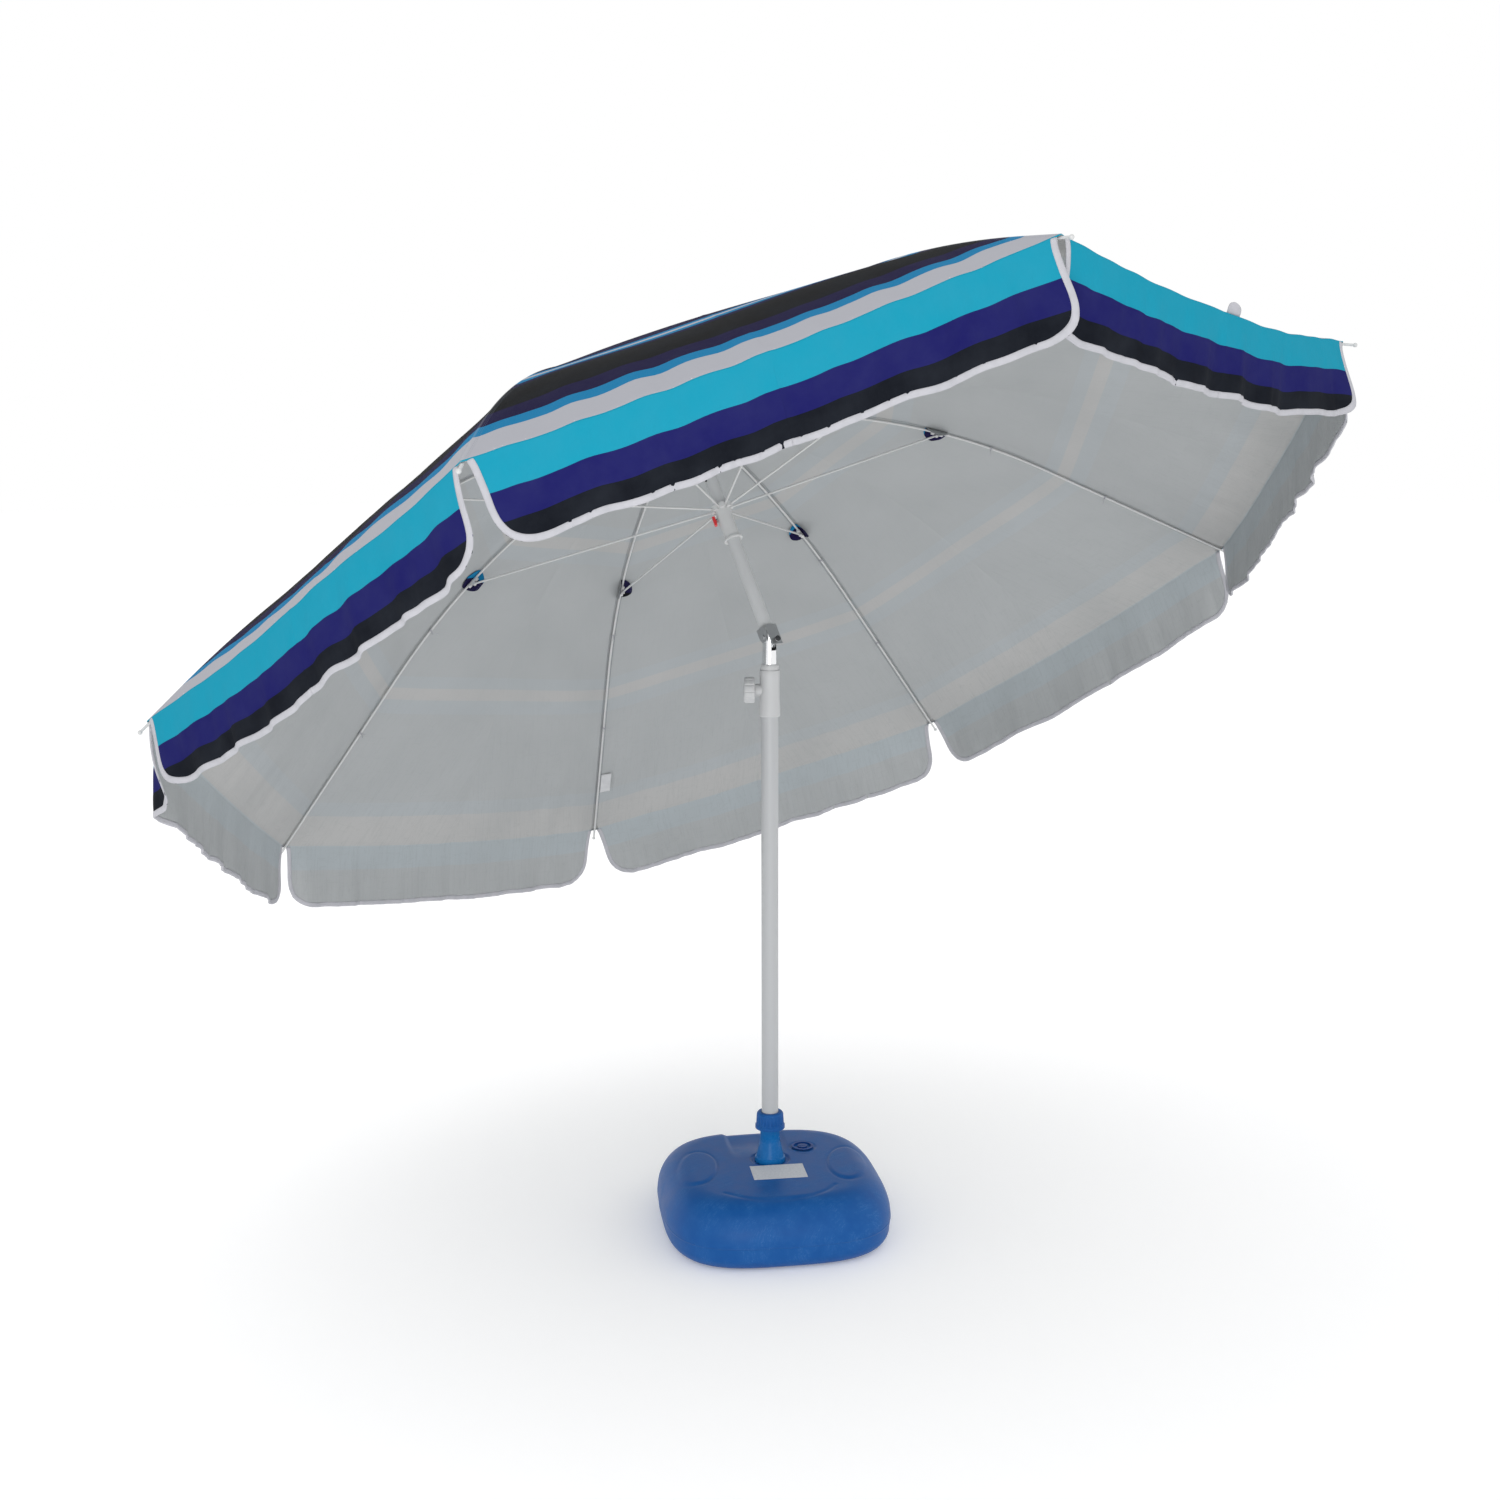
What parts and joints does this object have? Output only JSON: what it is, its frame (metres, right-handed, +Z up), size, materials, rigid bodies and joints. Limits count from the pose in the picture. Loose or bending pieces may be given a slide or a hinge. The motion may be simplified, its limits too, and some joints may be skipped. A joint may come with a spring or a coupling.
{
  "type": "beach umbrella",
  "caption": "Tilting beach umbrella with striped canopy and scalloped valance on a two-part steel pole, standing in a blue water-filled plastic base",
  "frame": {"origin": "on the ground, on the axis of the lower pole", "axes": "+Z up, the upper pole leans towards -X, Y completes the right-handed frame"},
  "size_m": [1.8648, 2.2122, 1.7677],
  "materials": {
    "base_plastic": "blow-moulded, slightly glossy",
    "water": "ballast water",
    "neck_plastic": "smooth moulded",
    "label": "printed sticker, left blank",
    "dark_plastic": "satin",
    "cap_plastic": "satin",
    "pole_paint": "satin white powder coat",
    "rib_paint": "satin white powder coat",
    "white_plastic": "smooth moulded",
    "chrome": "bright plated",
    "bright_steel": "zinc plated",
    "fork_steel": "pressed sheet",
    "dark_steel": "blackened",
    "red_plastic": "smooth moulded",
    "canopy_cloth": "woven polyester, silver coated inside"
  },
  "bodies": {
    "base": {"base_shell": "base_plastic", "ballast": "water", "base_neck": "neck_plastic", "grip_ring": "dark_plastic", "base_label": "label"},
    "collar": {"collar_nut": "base_plastic"},
    "filler": {"fill_cap": "cap_plastic", "fill_seal": "dark_plastic"},
    "lower_pole": {"lower_tube": "pole_paint", "pole_foot": "dark_plastic", "height_clamp": "white_plastic", "clamp_nut": "bright_steel"},
    "knob": {"clamp_knob": "white_plastic", "knob_screw": "bright_steel", "knob_cap": "dark_plastic"},
    "inner_pole": {"inner_tube": "pole_paint", "inner_guide": "dark_plastic", "pole_bush": "white_plastic", "lower_knuckle": "chrome", "tilt_pin": "dark_steel"},
    "upper_pole": {"tilt_fork": "fork_steel", "upper_tube": "pole_paint", "stop_pin": "dark_steel", "top_hub": "white_plastic", "hub_wire": "bright_steel", "finial": "white_plastic"},
    "release": {"tilt_button": "dark_plastic", "tilt_spring": "bright_steel"},
    "slider": {"runner": "white_plastic", "runner_wire": "bright_steel"},
    "latch": {"latch_button": "red_plastic", "latch_spring": "bright_steel"},
    "arm_1": {"rib_1": "rib_paint", "canopy_1": "canopy_cloth"},
    "arm_2": {"rib_2": "rib_paint", "canopy_2": "canopy_cloth"},
    "arm_3": {"rib_3": "rib_paint", "canopy_3": "canopy_cloth"},
    "arm_4": {"rib_4": "rib_paint", "canopy_4": "canopy_cloth"},
    "arm_5": {"rib_5": "rib_paint", "canopy_5": "canopy_cloth"},
    "arm_6": {"rib_6": "rib_paint", "canopy_6": "canopy_cloth"},
    "arm_7": {"rib_7": "rib_paint", "canopy_7": "canopy_cloth"},
    "arm_8": {"rib_8": "rib_paint", "canopy_8": "canopy_cloth"},
    "strut_1": {"stretcher_1": "rib_paint"},
    "strut_2": {"stretcher_2": "rib_paint"},
    "strut_3": {"stretcher_3": "rib_paint"},
    "strut_4": {"stretcher_4": "rib_paint"},
    "strut_5": {"stretcher_5": "rib_paint"},
    "strut_6": {"stretcher_6": "rib_paint"},
    "strut_7": {"stretcher_7": "rib_paint"},
    "strut_8": {"stretcher_8": "rib_paint"}
  },
  "joints": [
    {"name": "base_swivel", "type": "hinge", "parent": "base", "child": "lower_pole", "pos_m": [0, 0, 0.1], "axis": [0, 0, 1], "continuous": true},
    {"name": "collar_turn", "type": "hinge", "parent": "base", "child": "collar", "pos_m": [0, 0, 0.2], "axis": [0, 0, 1], "range_deg": [0, 270]},
    {"name": "cap_turn", "type": "hinge", "parent": "base", "child": "filler", "pos_m": [-0.00834, 0.08809, 0.12], "axis": [0, 0, 1], "range_deg": [0, 360]},
    {"name": "knob_turn", "type": "hinge", "parent": "lower_pole", "child": "knob", "pos_m": [0, 0, 1.0354], "axis": [-0.6157, -0.788, 0], "range_deg": [0, 360]},
    {"name": "height_slide", "type": "slide", "parent": "lower_pole", "child": "inner_pole", "axis": [0, 0, 1], "range_m": [0, 0.4]},
    {"name": "tilt_hinge", "type": "hinge", "parent": "inner_pole", "child": "upper_pole", "pos_m": [0, 0, 1.134], "axis": [0, 1, 0], "range_deg": [0, 31.9]},
    {"name": "tilt_release", "type": "slide", "parent": "upper_pole", "child": "release", "axis": [-0.849, 0, -0.5284], "range_m": [0, 0.0025], "stiffness_N_per_m": 600, "deforming": ["tilt_spring"]},
    {"name": "canopy_fold", "type": "hinge", "parent": "upper_pole", "child": "arm_1", "pos_m": [-0.26337, -0.01687, 1.55077], "axis": [0.8327, -0.1951, 0.5183], "range_deg": [0, 60], "deforming": ["canopy_1"]},
    {"name": "rib_fold_2", "type": "hinge", "parent": "upper_pole", "child": "arm_2", "pos_m": [-0.27266, -0.00956, 1.54499], "axis": [0.4717, -0.8315, 0.2936], "range_deg": [0, 60], "deforming": ["canopy_2"]},
    {"name": "rib_fold_3", "type": "hinge", "parent": "upper_pole", "child": "arm_3", "pos_m": [-0.27484, 0.00336, 1.54363], "axis": [-0.1656, -0.9808, -0.1031], "range_deg": [0, 60], "deforming": ["canopy_3"]},
    {"name": "rib_fold_4", "type": "hinge", "parent": "upper_pole", "child": "arm_4", "pos_m": [-0.26863, 0.0143, 1.54749], "axis": [-0.7059, -0.5556, -0.4394], "range_deg": [0, 60], "deforming": ["canopy_4"]},
    {"name": "rib_fold_5", "type": "hinge", "parent": "upper_pole", "child": "arm_5", "pos_m": [-0.25767, 0.01687, 1.55432], "axis": [-0.8327, 0.1951, -0.5183], "range_deg": [0, 60], "deforming": ["canopy_5"]},
    {"name": "rib_fold_6", "type": "hinge", "parent": "upper_pole", "child": "arm_6", "pos_m": [-0.24838, 0.00956, 1.5601], "axis": [-0.4717, 0.8315, -0.2936], "range_deg": [0, 60], "deforming": ["canopy_6"]},
    {"name": "rib_fold_7", "type": "hinge", "parent": "upper_pole", "child": "arm_7", "pos_m": [-0.2462, -0.00336, 1.56146], "axis": [0.1656, 0.9808, 0.1031], "range_deg": [0, 60], "deforming": ["canopy_7"]},
    {"name": "rib_fold_8", "type": "hinge", "parent": "upper_pole", "child": "arm_8", "pos_m": [-0.25241, -0.0143, 1.55759], "axis": [0.7059, 0.5556, 0.4394], "range_deg": [0, 60], "deforming": ["canopy_8"]},
    {"name": "runner_slide", "type": "slide", "parent": "upper_pole", "child": "slider", "axis": [0.5284, 0, -0.849], "range_m": [0, 0.06]},
    {"name": "strut_swing_1", "type": "hinge", "parent": "slider", "child": "strut_1", "pos_m": [-0.14658, -0.01687, 1.36315], "axis": [0.8327, -0.1951, 0.5183], "range_deg": [0, 83.5]},
    {"name": "strut_swing_2", "type": "hinge", "parent": "slider", "child": "strut_2", "pos_m": [-0.15588, -0.00956, 1.35736], "axis": [0.4717, -0.8315, 0.2936], "range_deg": [0, 83.5]},
    {"name": "strut_swing_3", "type": "hinge", "parent": "slider", "child": "strut_3", "pos_m": [-0.15806, 0.00336, 1.35601], "axis": [-0.1656, -0.9808, -0.1031], "range_deg": [0, 83.5]},
    {"name": "strut_swing_4", "type": "hinge", "parent": "slider", "child": "strut_4", "pos_m": [-0.15185, 0.0143, 1.35987], "axis": [-0.7059, -0.5556, -0.4394], "range_deg": [0, 83.5]},
    {"name": "strut_swing_5", "type": "hinge", "parent": "slider", "child": "strut_5", "pos_m": [-0.14089, 0.01687, 1.36669], "axis": [-0.8327, 0.1951, -0.5183], "range_deg": [0, 83.5]},
    {"name": "strut_swing_6", "type": "hinge", "parent": "slider", "child": "strut_6", "pos_m": [-0.13159, 0.00956, 1.37248], "axis": [-0.4717, 0.8315, -0.2936], "range_deg": [0, 83.5]},
    {"name": "strut_swing_7", "type": "hinge", "parent": "slider", "child": "strut_7", "pos_m": [-0.12941, -0.00336, 1.37383], "axis": [0.1656, 0.9808, 0.1031], "range_deg": [0, 83.5]},
    {"name": "strut_swing_8", "type": "hinge", "parent": "slider", "child": "strut_8", "pos_m": [-0.13562, -0.0143, 1.36997], "axis": [0.7059, 0.5556, 0.4394], "range_deg": [0, 83.5]},
    {"name": "latch_press", "type": "slide", "parent": "slider", "child": "latch", "axis": [0.4717, 0.8315, 0.2936], "range_m": [0, 0.0035], "stiffness_N_per_m": 600, "deforming": ["latch_spring"]}
  ],
  "couplings": [
    {"joint": "rib_fold_2", "follows": "canopy_fold", "ratio": 1},
    {"joint": "rib_fold_3", "follows": "canopy_fold", "ratio": 1},
    {"joint": "rib_fold_4", "follows": "canopy_fold", "ratio": 1},
    {"joint": "rib_fold_5", "follows": "canopy_fold", "ratio": 1},
    {"joint": "rib_fold_6", "follows": "canopy_fold", "ratio": 1},
    {"joint": "rib_fold_7", "follows": "canopy_fold", "ratio": 1},
    {"joint": "rib_fold_8", "follows": "canopy_fold", "ratio": 1},
    {"joint": "runner_slide", "follows": "canopy_fold", "m_per_rad": 0.057296},
    {"joint": "strut_swing_1", "follows": "canopy_fold", "ratio": 1.3917},
    {"joint": "strut_swing_2", "follows": "canopy_fold", "ratio": 1.3917},
    {"joint": "strut_swing_3", "follows": "canopy_fold", "ratio": 1.3917},
    {"joint": "strut_swing_4", "follows": "canopy_fold", "ratio": 1.3917},
    {"joint": "strut_swing_5", "follows": "canopy_fold", "ratio": 1.3917},
    {"joint": "strut_swing_6", "follows": "canopy_fold", "ratio": 1.3917},
    {"joint": "strut_swing_7", "follows": "canopy_fold", "ratio": 1.3917},
    {"joint": "strut_swing_8", "follows": "canopy_fold", "ratio": 1.3917}
  ]
}
